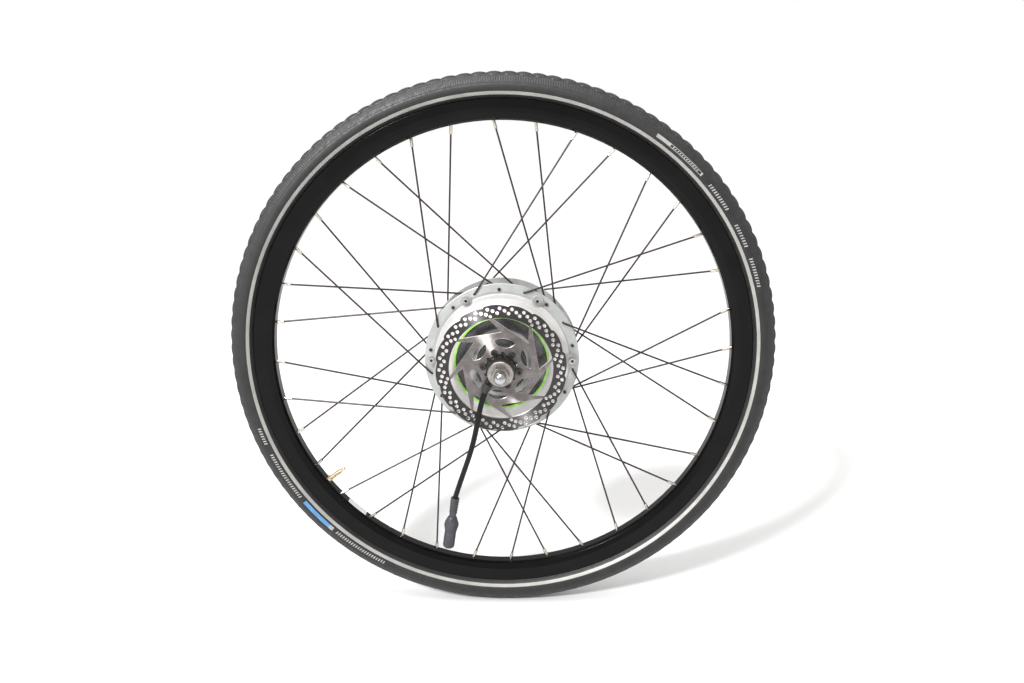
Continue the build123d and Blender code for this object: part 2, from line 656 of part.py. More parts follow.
def stripe_arc(radius, wall):
    """A point of the sidewall arc at a wheel radius, lifted by a wall thickness."""
    lean = acos((crown_centre - radius) / sidewall_r)
    side_r = sidewall_r + wall
    return (crown_centre - side_r * cos(lean), sidewall_y + side_r * sin(lean))


def stripe(flip):
    """The reflective band round one sidewall."""
    with BuildSketch(Plane.XY) as band:
        with BuildLine():
            ThreePointArc(*[flip(stripe_arc(r, 0.0)) for r in (321.2, 323.0, 324.8)])
            Line(flip(stripe_arc(324.8, 0.0)), flip(stripe_arc(324.8, 0.3)))
            ThreePointArc(*[flip(stripe_arc(r, 0.3)) for r in (324.8, 323.0, 321.2)])
            Line(flip(stripe_arc(321.2, 0.3)), flip(stripe_arc(321.2, 0.0)))
        make_face()
    revolve(band.sketch, axis=Axis.Y)


with BuildPart() as reflective_band_disc:
    stripe(mirrored)

with BuildPart() as reflective_band_drive:
    stripe(lambda point: point)

# ---------------------------------------------------------------- cable and connector

route = [Vector(*point) for point in CABLE_ROUTE]
runs = [b - a for a, b in zip(route, route[1:])]
bends = []
for before, after in zip(runs, runs[1:]):
    half_turn = radians(before.get_angle(after)) / 2
    bends.append(0.45 * min(before.length, after.length) / tan(half_turn))
print("cable bend radii", [round(bend) for bend in bends])

with BuildPart() as cable:
    with BuildLine() as cable_path:
        FilletPolyline(*route, radius=bends)
    with BuildSketch(Plane(origin=route[0], z_dir=runs[0])) as cable_section:
        Circle(CABLE_R)
    sweep(cable_section.sketch, path=cable_path.line)
cable_length = cable_path.wire().length
print("cable length", round(cable_length, 1), "volume ratio",
      round(cable.part.volume / (pi * CABLE_R ** 2 * cable_length), 4))

leaving = runs[0].normalized()
with BuildPart() as cable_relief:
    relief_plane = Plane(origin=route[0] + leaving * 5.2, z_dir=leaving)
    with BuildSketch(relief_plane) as relief_foot:
        Circle(4.9)
    with BuildSketch(relief_plane.offset(11.0)) as relief_tip:
        Circle(3.9)
    loft([relief_foot.sketch.face(), relief_tip.sketch.face()])
    rod(CABLE_R, route[0], route[0] + leaving * 20, Mode.SUBTRACT)

plug_axis = (Vector(*CONNECTOR_END) - route[-1]).normalized()


def along_plug(*outline):
    """Revolve a closed outline of (distance along the plug, radius) points about its axis."""
    plug_plane = Plane(origin=route[-1], x_dir=plug_axis, z_dir=plug_axis.cross(Vector(0, 0, 1)))
    with BuildSketch(plug_plane) as half:
        with BuildLine():
            Polyline(*outline, close=True)
        make_face()
    revolve(half.sketch, axis=Axis(route[-1], plug_axis))


with BuildPart() as connector_sleeve:
    along_plug((0, 0), (0, 4.6), (0.6, 5.5), (2.6, 5.5), (3.2, 5.0), (4.2, 5.4), (12, 5.1),
               (26.5, 4.5), (28.5, 4.6), (28.5, 0))

with BuildPart() as connector_collar:
    along_plug((28.5, 0), (28.5, 4.8), (32.0, 7.0), (36.0, 9.1), (40.0, 9.8), (44.0, 9.5),
               (47.5, 8.6), (49.5, 8.0), (49.5, 0))

with BuildPart() as connector_body:
    along_plug((49.5, 0), (49.5, 7.4), (50.5, 7.7), (73.5, 7.7), (75.0, 6.9), (75.0, 0))

pieces = {
    "axle": axle,
    "axle_sleeve": axle_sleeve,
    "cable_collar": cable_collar,
    "axle_cap_nut": axle_cap_nut,
    "drive_spacer": drive_spacer,
    "drive_washer": drive_washer,
    "drive_nut": drive_nut,
    "stator_carrier": stator_carrier,
    "stator_core": stator_core,
    "stator_windings": stator_windings,
    "sensor_board": sensor_board,
    "motor_leads": motor_leads,
    "rotor_can": rotor_can,
    "rotor_magnets": rotor_magnets,
    "rotor_bearing": rotor_bearing,
    "needle_bush": needle_bush,
    "sun_gear": sun_gear,
    "ring_gear": ring_gear,
    "planet_carrier": planet_carrier,
    "planet_pins": planet_pins,
    "one_way_clutch": one_way_clutch,
    "clutch_rollers": clutch_rollers,
    "hub_shell": hub_shell,
    "disc_side_cover": disc_side_cover,
    "cover_screws": cover_screws,
    "trim_ring": trim_ring,
    "trim_disc": trim_disc,
    "disc_side_bearing": disc_side_bearing,
    "disc_side_seal": disc_side_seal,
    "drive_side_bearing": drive_side_bearing,
    "drive_side_seal": drive_side_seal,
    "brake_disc": brake_disc,
    "disc_bolts": disc_bolts,
    "spokes_disc_outer": spokes_disc_outer,
    "spokes_disc_inner": spokes_disc_inner,
    "spokes_drive_outer": spokes_drive_outer,
    "spokes_drive_inner": spokes_drive_inner,
    "nipples": nipples,
    "rim": rim,
    "rim_tape": rim_tape,
    "valve_stem": valve_stem,
    "valve_nut": valve_nut,
    "tyre": tyre,
    "inner_tube": inner_tube,
    "reflective_band_disc": reflective_band_disc,
    "reflective_band_drive": reflective_band_drive,
    "cable": cable,
    "cable_relief": cable_relief,
    "connector_sleeve": connector_sleeve,
    "connector_collar": connector_collar,
    "connector_body": connector_body,
}
for number, (planet_gear, planet_bush) in enumerate(zip(planet_gears, planet_bushes), 1):
    pieces[f"planet_gear_{number}"] = planet_gear
    pieces[f"planet_bush_{number}"] = planet_bush

os.makedirs("parts", exist_ok=True)
for name, piece in pieces.items():
    piece.part.label = name
    export_step(piece.part, f"parts/{name}.step")
print(len(pieces), "pieces")
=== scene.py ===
"""A rear hub-motor wheel on a pale studio floor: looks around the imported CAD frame. Metres."""

from math import cos, pi, radians, sin, tau

import bpy
import numpy as np
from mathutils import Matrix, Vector


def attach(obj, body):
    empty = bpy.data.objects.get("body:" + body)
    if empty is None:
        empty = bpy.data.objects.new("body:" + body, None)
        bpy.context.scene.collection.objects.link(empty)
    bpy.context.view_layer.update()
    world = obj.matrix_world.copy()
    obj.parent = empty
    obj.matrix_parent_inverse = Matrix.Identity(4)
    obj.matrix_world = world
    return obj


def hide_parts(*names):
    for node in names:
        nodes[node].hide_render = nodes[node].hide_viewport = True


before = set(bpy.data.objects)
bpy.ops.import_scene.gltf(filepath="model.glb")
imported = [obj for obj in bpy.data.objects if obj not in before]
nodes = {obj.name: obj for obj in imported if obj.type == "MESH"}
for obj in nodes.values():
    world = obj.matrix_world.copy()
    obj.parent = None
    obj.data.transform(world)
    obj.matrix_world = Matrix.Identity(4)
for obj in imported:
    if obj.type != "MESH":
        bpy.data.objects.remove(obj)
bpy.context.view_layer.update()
MM = 0.001

# ------------------------------------------------------------------ camera and colour

CAMERA_TARGET = Vector((12.36, 0.0, 16.59)) * MM
CAMERA_AZIMUTH = radians(0.85)
CAMERA_ELEVATION = radians(15.0)
CAMERA_DISTANCE = 1.124
FOCAL_LENGTH_MM = 30.89

back = Vector((sin(CAMERA_AZIMUTH) * cos(CAMERA_ELEVATION),
               -cos(CAMERA_AZIMUTH) * cos(CAMERA_ELEVATION), sin(CAMERA_ELEVATION)))
camera = bpy.data.objects.new("camera", bpy.data.cameras.new("camera"))
camera.location = CAMERA_TARGET + back * CAMERA_DISTANCE
camera.rotation_mode = "QUATERNION"
camera.rotation_quaternion = (-back).to_track_quat("-Z", "Y")
camera.data.sensor_width = 36.0
camera.data.lens = FOCAL_LENGTH_MM
bpy.context.scene.collection.objects.link(camera)
bpy.context.scene.camera = camera
bpy.context.scene.view_settings.view_transform = "Standard"

# ------------------------------------------------------------------ material tools


def add(tree, kind, settings=None, **values):
    """A new node. Settings are its own properties, and values are its input sockets."""
    made = tree.nodes.new(kind)
    for key, value in (settings or {}).items():
        setattr(made, key, value)
    for key, value in values.items():
        made.inputs[key.replace("_", " ")].default_value = value
    return made


def start(name, colour, rough, metal=0.0, **sockets):
    """A material with a principled shader whose plain values sit on its own sockets."""
    made = bpy.data.materials.new(name)
    made.use_nodes = True
    tree = made.node_tree
    shader = tree.nodes["Principled BSDF"]
    shader.inputs["Base Color"].default_value = (*colour, 1.0)
    shader.inputs["Roughness"].default_value = rough
    shader.inputs["Metallic"].default_value = metal
    for key, value in sockets.items():
        shader.inputs[key.replace("_", " ")].default_value = value
    return made, tree, shader


def place(tree, stretch=(1, 1, 1)):
    """Object coordinates in metres, stretched along each axis."""
    where = add(tree, "ShaderNodeTexCoord").outputs["Object"]
    mapping = add(tree, "ShaderNodeMapping")
    mapping.inputs["Scale"].default_value = stretch
    tree.links.new(where, mapping.inputs["Vector"])
    return mapping.outputs["Vector"]


def mottle(tree, size_mm, detail=3.0):
    """Soft noise whose blotches are about size_mm across."""
    made = add(tree, "ShaderNodeTexNoise", Scale=1000.0 / size_mm, Detail=detail)
    tree.links.new(place(tree), made.inputs["Vector"])
    return made.outputs["Fac"]


def along_axle(tree):
    """The distance along the axle, in metres."""
    split = add(tree, "ShaderNodeSeparateXYZ")
    tree.links.new(place(tree), split.inputs[0])
    return split.outputs["Y"]


def from_axle(tree):
    """The distance from the axle's axis, in metres."""
    length = add(tree, "ShaderNodeVectorMath", {"operation": "LENGTH"})
    tree.links.new(place(tree, (1, 0, 1)), length.inputs[0])
    return length.outputs["Value"]


def rings(tree, distance, size_mm, detail=2.0):
    """Fine lines that follow a distance, as turning and grinding leave them."""
    made = add(tree, "ShaderNodeTexNoise", {"noise_dimensions": "1D"},
               Scale=1000.0 / size_mm, Detail=detail)
    tree.links.new(distance, made.inputs["W"])
    return made.outputs["Fac"]


def shift(tree, value, low, high, from_low=0.3, from_high=0.7):
    """A value moved into another range, clamped."""
    made = add(tree, "ShaderNodeMapRange", From_Min=from_low, From_Max=from_high,
               To_Min=low, To_Max=high)
    tree.links.new(value, made.inputs["Value"])
    return made.outputs["Result"]


def blend_colours(tree, fac, first, second):
    """Two colours mixed by a factor. Each is a colour or another node's output."""
    made = add(tree, "ShaderNodeMix", {"data_type": "RGBA"})
    tree.links.new(fac, made.inputs[0])
    for socket, colour in ((made.inputs[6], first), (made.inputs[7], second)):
        if isinstance(colour, tuple):
            socket.default_value = (*colour, 1.0)
        else:
            tree.links.new(colour, socket)
    return made.outputs[2]


def times(tree, first, second, operation="MULTIPLY"):
    """Two values combined."""
    made = add(tree, "ShaderNodeMath", {"operation": operation})
    for socket, value in zip(made.inputs, (first, second)):
        if isinstance(value, (int, float)):
            socket.default_value = value
        else:
            tree.links.new(value, socket)
    return made.outputs[0]


def emboss(tree, shader, height, depth_mm):
    """Bump from a height between 0 and 1."""
    made = add(tree, "ShaderNodeBump", Strength=1.0, Distance=depth_mm * MM)
    tree.links.new(height, made.inputs["Height"])
    tree.links.new(made.outputs["Normal"], shader.inputs["Normal"])


def finish_of(name, dark, light, rough, metal=0.0, blotch_mm=14.0, grain_mm=0.6,
              grain_depth_mm=0.02, **sockets):
    """A mottled colour, an uneven gloss and a fine grain."""
    made, tree, shader = start(name, light, sum(rough) / 2, metal, **sockets)
    blotches = mottle(tree, blotch_mm, 4.0)
    tree.links.new(blend_colours(tree, shift(tree, blotches, 0.0, 1.0), dark, light),
                   shader.inputs["Base Color"])
    tree.links.new(shift(tree, mottle(tree, blotch_mm * 0.4), *rough), shader.inputs["Roughness"])
    emboss(tree, shader, mottle(tree, grain_mm, 2.0), grain_depth_mm)
    return made


def turned(name, dark, light, rough, line_mm=0.35, depth_mm=0.006):
    """Turned metal, with fine rings round the axle."""
    made, tree, shader = start(name, light, sum(rough) / 2, metal=1.0)
    lines = rings(tree, along_axle(tree), line_mm)
    tree.links.new(blend_colours(tree, shift(tree, mottle(tree, 5.0), 0.0, 1.0), dark, light),
                   shader.inputs["Base Color"])
    tree.links.new(shift(tree, lines, *rough), shader.inputs["Roughness"])
    emboss(tree, shader, lines, depth_mm)
    return made


# ------------------------------------------------------------------ materials

# The cover: silver casting, with a dark end on its boss. Its forward-facing lug faces are painted
# greyer as shade, against the cone between them that faces up into the light.
cast, tree, shader = start("cast_silver", (0.55, 0.54, 0.525), 0.42, 0.25)
silver = blend_colours(tree, shift(tree, mottle(tree, 30.0, 4.0), 0.0, 1.0),
                       (0.50, 0.49, 0.475), (0.60, 0.59, 0.575))
outward = add(tree, "ShaderNodeSeparateXYZ")
tree.links.new(add(tree, "ShaderNodeNewGeometry").outputs["Normal"], outward.inputs[0])
# Painted shade: lug faces that face forward are coloured greyer than the upward-facing cone beside
# them.
lug_face_shade = times(tree, shift(tree, outward.outputs["Y"], 1.0, 0.0, -0.97, -0.90),
                  shift(tree, along_axle(tree), 0.0, 1.0, -0.0316, -0.0312))
lug_face_shade = times(tree, lug_face_shade, shift(tree, along_axle(tree), 1.0, 0.0, -0.0301, -0.0297))
silver = blend_colours(tree, lug_face_shade, silver, (0.40, 0.41, 0.40))
boss_end = shift(tree, along_axle(tree), 1.0, 0.0, -0.0640, -0.0636)
tree.links.new(blend_colours(tree, boss_end, silver, (0.03, 0.03, 0.03)),
               shader.inputs["Base Color"])
tree.links.new(shift(tree, mottle(tree, 12.0), 0.36, 0.48), shader.inputs["Roughness"])
emboss(tree, shader, mottle(tree, 0.5, 2.0), 0.012)
cast_flange = finish_of("cast_silver_flange", (0.35, 0.36, 0.35), (0.44, 0.45, 0.44), (0.36, 0.48),
                        metal=0.3, blotch_mm=22.0, grain_mm=0.5, grain_depth_mm=0.015)
steel_warm = turned("turned_warm_steel", (0.26, 0.235, 0.22), (0.42, 0.39, 0.365), (0.22, 0.36))
steel_plain = turned("turned_steel", (0.42, 0.42, 0.42), (0.62, 0.62, 0.62), (0.24, 0.36))
plated = finish_of("plated_steel", (0.62, 0.61, 0.59), (0.80, 0.79, 0.77), (0.12, 0.22), metal=1.0,
                   blotch_mm=6.0, grain_mm=0.8, grain_depth_mm=0.004)

# The cover screws: bright steel. Their sunk drive is painted near black as shade.
screw_steel, tree, shader = start("screw_steel", (0.5, 0.49, 0.47), 0.3, 0.9)
crown = blend_colours(tree, shift(tree, mottle(tree, 4.0), 0.0, 1.0),
                      (0.38, 0.37, 0.35), (0.56, 0.55, 0.53))
# Painted shade: the steel nearer the hub than the crown is coloured near black, so the sunk drive
# reads dark.
drive_shade = shift(tree, along_axle(tree), 0.0, 1.0, -0.0323, -0.0320)
tree.links.new(blend_colours(tree, drive_shade, crown, (0.03, 0.03, 0.03)), shader.inputs["Base Color"])
tree.links.new(shift(tree, mottle(tree, 2.0), 0.24, 0.38), shader.inputs["Roughness"])
emboss(tree, shader, mottle(tree, 0.6), 0.008)

laminated = turned("laminated_steel", (0.20, 0.20, 0.21), (0.38, 0.38, 0.39), (0.35, 0.5),
                   line_mm=0.5, depth_mm=0.05)
copper = finish_of("enamelled_copper", (0.40, 0.13, 0.04), (0.66, 0.27, 0.10), (0.25, 0.4),
                   metal=0.8, blotch_mm=2.0, grain_mm=0.7, grain_depth_mm=0.2)
board = finish_of("circuit_board", (0.01, 0.10, 0.03), (0.03, 0.22, 0.08), (0.3, 0.45),
                  blotch_mm=3.0, grain_mm=1.0)
gear_plastic = finish_of("gear_nylon", (0.62, 0.59, 0.48), (0.76, 0.73, 0.62), (0.4, 0.55),
                         blotch_mm=8.0)
black_gloss = finish_of("black_gloss_plastic", (0.006, 0.006, 0.007), (0.014, 0.014, 0.015),
                        (0.16, 0.28), grain_depth_mm=0.006)
seal_rubber = finish_of("seal_rubber", (0.008, 0.008, 0.009), (0.022, 0.022, 0.024), (0.5, 0.7))
jacket = finish_of("cable_jacket", (0.003, 0.003, 0.003), (0.007, 0.007, 0.007), (0.30, 0.42),
                   blotch_mm=9.0, grain_mm=0.5, grain_depth_mm=0.015, Specular_IOR_Level=0.2)
charcoal = finish_of("connector_charcoal", (0.026, 0.027, 0.031), (0.052, 0.053, 0.060),
                     (0.42, 0.56), blotch_mm=7.0, grain_mm=0.35, grain_depth_mm=0.03)
lime = finish_of("lime_trim", (0.28, 0.62, 0.08), (0.42, 0.84, 0.16), (0.22, 0.34),
                 blotch_mm=12.0, grain_depth_mm=0.006)
dark_bolt = finish_of("dark_bolts", (0.03, 0.027, 0.026), (0.085, 0.078, 0.075), (0.28, 0.42),
                      metal=0.9, blotch_mm=3.0)
spoke_black = finish_of("black_spokes", (0.020, 0.012, 0.015), (0.038, 0.024, 0.029), (0.3, 0.44),
                        metal=0.1, blotch_mm=18.0, grain_mm=0.4, grain_depth_mm=0.006,
                        Specular_IOR_Level=0.35)
nickel = finish_of("nickel_nipples", (0.50, 0.44, 0.37), (0.74, 0.69, 0.62), (0.2, 0.34),
                   metal=1.0, blotch_mm=3.0, grain_mm=0.5, grain_depth_mm=0.01)
brass = finish_of("valve_brass", (0.56, 0.45, 0.30), (0.80, 0.69, 0.52), (0.18, 0.32),
                  metal=1.0, blotch_mm=3.0, grain_mm=0.5, grain_depth_mm=0.01)
tape = finish_of("rim_tape", (0.25, 0.05, 0.04), (0.40, 0.09, 0.07), (0.6, 0.8), grain_mm=0.4)
magnet = finish_of("magnet_plating", (0.45, 0.45, 0.46), (0.62, 0.62, 0.63), (0.15, 0.25),
                   metal=1.0)
printed = finish_of("printed_grey", (0.28, 0.275, 0.265), (0.42, 0.415, 0.40), (0.5, 0.65),
                    blotch_mm=4.0, grain_depth_mm=0.01)
printed_blue = finish_of("printed_blue", (0.06, 0.20, 0.42), (0.10, 0.28, 0.56), (0.42, 0.56),
                         blotch_mm=6.0, grain_depth_mm=0.01)
label_white = finish_of("label_white", (0.66, 0.67, 0.68), (0.80, 0.80, 0.80), (0.35, 0.5),
                        blotch_mm=5.0, grain_depth_mm=0.004)

# The rim: gloss black with softened edges. Faint polishing lines round it vary its gloss.
rim_black, tree, shader = start("gloss_black_rim", (0.004, 0.004, 0.004), 0.14, 0.0,
                                Specular_IOR_Level=0.15)
lines = rings(tree, from_axle(tree), 1.6)
tree.links.new(blend_colours(tree, shift(tree, mottle(tree, 40.0), 0.0, 1.0),
                             (0.002, 0.0018, 0.0019), (0.004, 0.0037, 0.0038)),
               shader.inputs["Base Color"])
tree.links.new(shift(tree, lines, 0.10, 0.18), shader.inputs["Roughness"])
rounded = add(tree, "ShaderNodeBevel", {"samples": 6}, Radius=1.3 * MM)
tree.links.new(rounded.outputs["Normal"], shader.inputs["Normal"])

# The trim disc: dark plastic outside, a lighter step inside it and a black collar round the boss.
trim_dark, tree, shader = start("charcoal_trim", (0.08, 0.08, 0.08), 0.26, 0.25)
outer = blend_colours(tree, shift(tree, mottle(tree, 16.0, 4.0), 0.0, 1.0),
                      (0.060, 0.058, 0.060), (0.105, 0.102, 0.104))
step = blend_colours(tree, shift(tree, from_axle(tree), 1.0, 0.0, 0.0425, 0.0440),
                     outer, (0.36, 0.36, 0.36))
collar = shift(tree, along_axle(tree), 1.0, 0.0, -0.0426, -0.0420)
tree.links.new(blend_colours(tree, collar, step, (0.012, 0.012, 0.013)),
               shader.inputs["Base Color"])
tree.links.new(shift(tree, mottle(tree, 6.0), 0.20, 0.34), shader.inputs["Roughness"])
emboss(tree, shader, rings(tree, from_axle(tree), 0.8), 0.010)

# The reflective band: tiny beads in a light grey film.
band, tree, shader = start("reflective_band", (0.42, 0.41, 0.39), 0.42, 0.1)
beads = add(tree, "ShaderNodeTexVoronoi", Scale=1400.0)
tree.links.new(place(tree), beads.inputs["Vector"])
tree.links.new(blend_colours(tree, shift(tree, mottle(tree, 25.0), 0.0, 1.0),
                             (0.29, 0.28, 0.265), (0.38, 0.37, 0.35)),
               shader.inputs["Base Color"])
tree.links.new(shift(tree, beads.outputs["Distance"], 0.34, 0.55), shader.inputs["Roughness"])
emboss(tree, shader, beads.outputs["Distance"], 0.02)

# Tyre rubber: a dusty bloom on the tread and darker on the sidewall. The grooves are painted black
# as shade, found by their depth below the tread, which is told by the distance from the middle of
# the casing's round section.
rubber, tree, shader = start("tyre_rubber", (0.02, 0.02, 0.021), 0.6, 0.0, Specular_IOR_Level=0.42)
tread = shift(tree, from_axle(tree), 0.0, 1.0, 0.331, 0.346)
dust = blend_colours(tree, shift(tree, mottle(tree, 9.0, 5.0), 0.0, 1.0, 0.35, 0.72),
                     (0.021, 0.020, 0.021), (0.040, 0.038, 0.039))
wall = blend_colours(tree, shift(tree, mottle(tree, 16.0, 4.0), 0.0, 1.0),
                     (0.008, 0.0078, 0.008), (0.016, 0.0155, 0.016))
across_tread = add(tree, "ShaderNodeCombineXYZ")
tree.links.new(times(tree, from_axle(tree), 0.3295, "SUBTRACT"), across_tread.inputs["X"])
tree.links.new(along_axle(tree), across_tread.inputs["Y"])
section_radius = add(tree, "ShaderNodeVectorMath", {"operation": "LENGTH"})
tree.links.new(across_tread.outputs[0], section_radius.inputs[0])
# Painted shade: deep enough below the tread's outline, the rubber is coloured black.
groove_shade = times(tree, shift(tree, section_radius.outputs["Value"], 1.0, 0.0, 0.0171, 0.0182),
               shift(tree, from_axle(tree), 0.0, 1.0, 0.3300, 0.3320))
surface = blend_colours(tree, tread, wall, dust)
tree.links.new(blend_colours(tree, groove_shade, surface, (0.004, 0.004, 0.004)),
               shader.inputs["Base Color"])
tree.links.new(shift(tree, mottle(tree, 4.0), 0.46, 0.68), shader.inputs["Roughness"])
emboss(tree, shader, mottle(tree, 0.45, 2.0), 0.05)

# The brake disc: ground stainless. The track's grind lines are its own, but its near-black colour
# is a painted dark reflection, and the cut edges are painted bright as a glint.
disc_steel, tree, shader = start("ground_stainless", (0.3, 0.3, 0.3), 0.4, 1.0, Anisotropic=0.98,
                                 Anisotropic_Rotation=0.25)
radius = from_axle(tree)
lines = rings(tree, radius, 0.28, 3.0)
spider = blend_colours(tree, shift(tree, mottle(tree, 7.0, 4.0), 0.0, 1.0),
                       (0.19, 0.174, 0.169), (0.31, 0.287, 0.28))
# Painted reflection: the track's steel is coloured near black to stand in for dark surroundings
# mirrored in it.
track_with_painted_reflection = blend_colours(tree, lines, (0.055, 0.052, 0.053), (0.095, 0.091, 0.092))
faces = blend_colours(tree, shift(tree, radius, 0.0, 1.0, 0.0632, 0.0636), spider, track_with_painted_reflection)
rounded = add(tree, "ShaderNodeBevel", {"samples": 6}, Radius=0.55 * MM)
facing = add(tree, "ShaderNodeSeparateXYZ")
tree.links.new(rounded.outputs["Normal"], facing.inputs[0])
# Painted highlight: faces turned away from the axle's direction are coloured bright, as a glint
# along the cut edges.
edge_glint = shift(tree, times(tree, facing.outputs["Y"], 0.0, "ABSOLUTE"), 1.0, 0.0, 0.80, 0.98)
tree.links.new(blend_colours(tree, edge_glint, faces, (0.72, 0.68, 0.65)), shader.inputs["Base Color"])
tree.links.new(shift(tree, lines, 0.38, 0.48), shader.inputs["Roughness"])
around_axle = add(tree, "ShaderNodeTangent", {"direction_type": "RADIAL", "axis": "Y"})
tree.links.new(around_axle.outputs["Tangent"], shader.inputs["Tangent"])
emboss(tree, shader, lines, 0.004)

# The cap nut: a warm hexagon under a polished dome.
cap, tree, shader = start("cap_nut_steel", (0.7, 0.68, 0.65), 0.1, 1.0)
dome = shift(tree, along_axle(tree), 1.0, 0.0, -0.1015, -0.1012)
tree.links.new(blend_colours(tree, dome, (0.32, 0.295, 0.275), (0.50, 0.49, 0.50)),
               shader.inputs["Base Color"])
tree.links.new(times(tree, shift(tree, mottle(tree, 3.0), 0.05, 0.11),
                     shift(tree, dome, 2.6, 1.0, 0.0, 1.0)), shader.inputs["Roughness"])
emboss(tree, shader, mottle(tree, 1.2), 0.006)

LOOKS = {
    cast: ["disc_side_cover", "stator_carrier"],
    cast_flange: ["hub_shell"],
    steel_warm: ["axle_sleeve", "planet_carrier", "one_way_clutch", "ring_gear", "sun_gear",
                 "planet_bush_1", "planet_bush_2", "planet_bush_3"],
    steel_plain: ["axle", "drive_spacer", "planet_pins", "clutch_rollers", "disc_side_bearing",
                  "drive_side_bearing", "rotor_bearing", "needle_bush"],
    plated: ["drive_washer", "drive_nut"],
    screw_steel: ["cover_screws"],
    laminated: ["stator_core", "rotor_can"],
    copper: ["stator_windings"],
    board: ["sensor_board"],
    gear_plastic: ["planet_gear_1", "planet_gear_2", "planet_gear_3"],
    black_gloss: ["cable_collar"],
    seal_rubber: ["disc_side_seal", "drive_side_seal", "inner_tube", "cable_relief"],
    jacket: ["motor_leads"],
    charcoal: ["connector_sleeve", "connector_body"],
    lime: ["trim_ring"],
    trim_dark: ["trim_disc"],
    dark_bolt: ["disc_bolts"],
    spoke_black: ["spokes_disc_outer", "spokes_disc_inner", "spokes_drive_outer",
                  "spokes_drive_inner"],
    nickel: ["nipples"],
    brass: ["valve_nut"],
    tape: ["rim_tape"],
    magnet: ["rotor_magnets"],
    rim_black: ["rim"],
    band: ["reflective_band_disc", "reflective_band_drive"],
    disc_steel: ["brake_disc"],
    cap: ["axle_cap_nut"],
}
for look, names in LOOKS.items():
    for name in names:
        nodes[name].data.materials.clear()
        nodes[name].data.materials.append(look)

# ------------------------------------------------------------------ mesh tools


def polar(radius_mm, angle, y_mm=0.0):
    """A point at a radius and an angle in degrees about the axle, both lengths in mm."""
    return Vector((radius_mm * cos(radians(angle)), y_mm, radius_mm * sin(radians(angle)))) * MM


def mesh_piece(name, points, faces, look, body):
    """A smooth piece made from points and faces, riding on a body."""
    mesh = bpy.data.meshes.new(name)
    mesh.from_pydata([tuple(p) for p in points], [], faces)
    mesh.materials.append(look)
    mesh.validate()
    mesh.polygons.foreach_set("use_smooth", [True] * len(mesh.polygons))
    mesh.update()
    piece = bpy.data.objects.new(name, mesh)
    bpy.context.scene.collection.objects.link(piece)
    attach(piece, body)
    return piece


def grid_faces(rows, columns, wrap_rows=False):
    """Quads over a grid of points, numbered row by row."""
    faces = []
    for i in range(rows if wrap_rows else rows - 1):
        for j in range(columns - 1):
            here, beyond = i * columns + j, (i + 1) % rows * columns + j
            faces.append((here, here + 1, beyond + 1, beyond))
    return faces


def lathe(name, profile, origin, axis, look, body, steps=72, ribs=0, rib_mm=0.0,
          smooth_angle=35.0):
    """Turn a profile of (distance along the axis, radius) points in mm.

    A third number in a point is the share of the rib height there. Ribs run along the axis.
    """
    origin, axis = Vector(origin), Vector(axis).normalized()
    side = axis.orthogonal().normalized()
    other = axis.cross(side)
    points = []
    for step in range(steps):
        turn = tau * step / steps
        out = side * cos(turn) + other * sin(turn)
        for along, r, *raised in profile:
            if raised:
                r += raised[0] * rib_mm * max(0.0, cos(ribs * turn))
            points.append(origin + (axis * along + out * r) * MM)
    piece = mesh_piece(name, points, grid_faces(steps, len(profile), wrap_rows=True), look,
                       body)
    piece.data.set_sharp_from_angle(angle=radians(smooth_angle))
    return piece


def threads(first, last, crest, root, pitch):
    """The profile of a screw thread as rings, from one end to the other."""
    profile = [(first, root - 0.4)]
    count = int((last - first) / pitch)
    for turn in range(count):
        at = first + turn * pitch
        profile += [(at, root), (at + pitch * 0.42, crest), (at + pitch * 0.58, crest)]
    return profile + [(first + count * pitch, root), (last, root - 0.4)]


# ------------------------------------------------------------------ cable

CABLE_POINTS = [
    (-0.0127, -0.0760, -0.0125),
    (-0.0200, -0.0764, -0.0275),
    (-0.0260, -0.0760, -0.0500),
    (-0.0310, -0.0736, -0.0790),
    (-0.0376, -0.0665, -0.1070),
    (-0.0468, -0.0550, -0.1370),
    (-0.0550, -0.0440, -0.1635),
    (-0.0608, -0.0376, -0.1835),
]
CONNECTOR_TIP = Vector((-0.0716, -0.0284, -0.2570))
CABLE_DIAMETER = 0.0068

line = bpy.data.curves.new("cable_jacket", "CURVE")
line.dimensions = "3D"
spline = line.splines.new("NURBS")
spline.points.add(len(CABLE_POINTS) - 1)
for point, place_at in zip(spline.points, CABLE_POINTS):
    point.co = (*place_at, 1.0)
spline.order_u = 3
spline.use_endpoint_u = True
line.resolution_u = 16
line.bevel_depth = CABLE_DIAMETER / 2
line.bevel_resolution = 8
line.use_fill_caps = True
line.materials.append(jacket)
cable = bpy.data.objects.new("cable_jacket", line)
bpy.context.scene.collection.objects.link(cable)
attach(cable, "axle")
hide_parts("cable")

plug_start = Vector(CABLE_POINTS[-1])
plug_axis = (CONNECTOR_TIP - plug_start).normalized()
